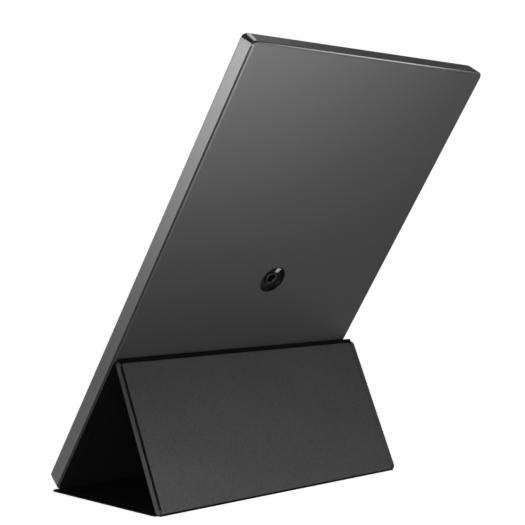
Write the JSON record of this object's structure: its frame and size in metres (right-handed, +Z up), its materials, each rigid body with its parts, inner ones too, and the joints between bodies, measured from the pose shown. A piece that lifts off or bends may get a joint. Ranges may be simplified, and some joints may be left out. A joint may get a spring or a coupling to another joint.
{
  "type": "portable monitor with cover",
  "caption": "Flat portable display leaning back in portrait on a prism stand folded from its own hinged leatherette cover, with a tripod socket in the back and side ports and keys.",
  "frame": {"origin": "on the desk surface, under the middle of the standing object's box", "axes": "+Z up; the screen faces -Y and the back +Y; the body's long side runs up the slope; ports and keys are on the -X side"},
  "size_m": [0.2346, 0.2134, 0.3054],
  "materials": {
    "side_frame": "satin paint, fine grain",
    "back_cover": "anodised dark grey, finely blasted",
    "bezel": "matt black",
    "black_tape": "foam tape",
    "screen_glass": "anti-glare, switched off",
    "films": "white diffuser sheets",
    "light_guide": "clear acrylic",
    "led_board": "strip of side-firing lamps",
    "tray_metal": "pressed sheet",
    "circuit_board": "solder mask",
    "flex_film": "polyimide film",
    "chassis_metal": "pressed plate",
    "tin_plate": "tinned sheet",
    "chip_black": "moulded black",
    "pad_rubber": "soft gap filler",
    "cable_film": "flat cable",
    "light_pipe": "frosted clear",
    "insert_steel": "nickel plated",
    "socket_black": "polished black",
    "screw_steel": "zinc plated",
    "strike_steel": "plain sheet",
    "keys": "satin paint",
    "cover_skin": "fine-grained dark grey leatherette",
    "cover_lining": "black microfibre",
    "cover_board": "dense paperboard",
    "magnet": "nickel-plated disc"
  },
  "bodies": {
    "monitor": {"mid_frame": "side_frame", "rear_cover": "back_cover", "front_bezel": "bezel", "bezel_tape": "black_tape", "lcd_glass": "screen_glass", "optical_films": "films", "light_guide": "light_guide", "led_strip": "led_board", "panel_tray": "tray_metal", "source_board": "circuit_board", "panel_flexes": "flex_film", "chassis_plate": "chassis_metal", "main_board": "circuit_board", "scaler_shield": "tin_plate", "board_parts": "chip_black", "thermal_pad": "pad_rubber", "display_cable": "cable_film", "usb_c_shells": "tin_plate", "usb_c_tongues": "chip_black", "hdmi_shell": "tin_plate", "hdmi_tongue": "chip_black", "key_board": "circuit_board", "key_switches": "tin_plate", "key_cable": "cable_film", "power_light": "light_pipe", "tripod_insert": "insert_steel", "socket_cup": "socket_black", "insert_fasteners": "screw_steel", "chassis_screws": "screw_steel", "board_screws": "screw_steel", "strike_strips": "strike_steel", "attach_skin": "cover_skin", "attach_lining": "cover_lining", "attach_core": "cover_board", "attach_magnets": "magnet", "top_fold": "cover_skin"},
    "rear_leg": {"rear_skin": "cover_skin", "rear_lining": "cover_lining", "rear_core": "cover_board", "foot_fold": "cover_skin"},
    "floor_panel": {"floor_skin": "cover_skin", "floor_lining": "cover_lining", "floor_core": "cover_board", "floor_magnets": "magnet"},
    "menu_key": {"menu_key": "keys"},
    "up_key": {"up_key": "keys"},
    "down_key": {"down_key": "keys"},
    "power_key": {"power_key": "keys"}
  },
  "joints": [
    {"name": "top_fold_hinge", "type": "hinge", "parent": "monitor", "child": "rear_leg", "pos_m": [0, -0.02796, 0.09819], "axis": [1, 0, 0], "range_deg": [0, 120]},
    {"name": "foot_fold_hinge", "type": "hinge", "parent": "rear_leg", "child": "floor_panel", "pos_m": [0, 0.01701, 0.0013], "axis": [1, 0, 0], "range_deg": [0, 115]},
    {"name": "menu_key_press", "type": "slide", "parent": "monitor", "child": "menu_key", "axis": [1, 0, 0], "range_m": [0, 0.00035], "stiffness_N_per_m": 150, "springref_m": -0.001},
    {"name": "up_key_press", "type": "slide", "parent": "monitor", "child": "up_key", "axis": [1, 0, 0], "range_m": [0, 0.00035], "stiffness_N_per_m": 150, "springref_m": -0.001},
    {"name": "down_key_press", "type": "slide", "parent": "monitor", "child": "down_key", "axis": [1, 0, 0], "range_m": [0, 0.00035], "stiffness_N_per_m": 150, "springref_m": -0.001},
    {"name": "power_key_press", "type": "slide", "parent": "monitor", "child": "power_key", "axis": [1, 0, 0], "range_m": [0, 0.00035], "stiffness_N_per_m": 150, "springref_m": -0.001}
  ]
}
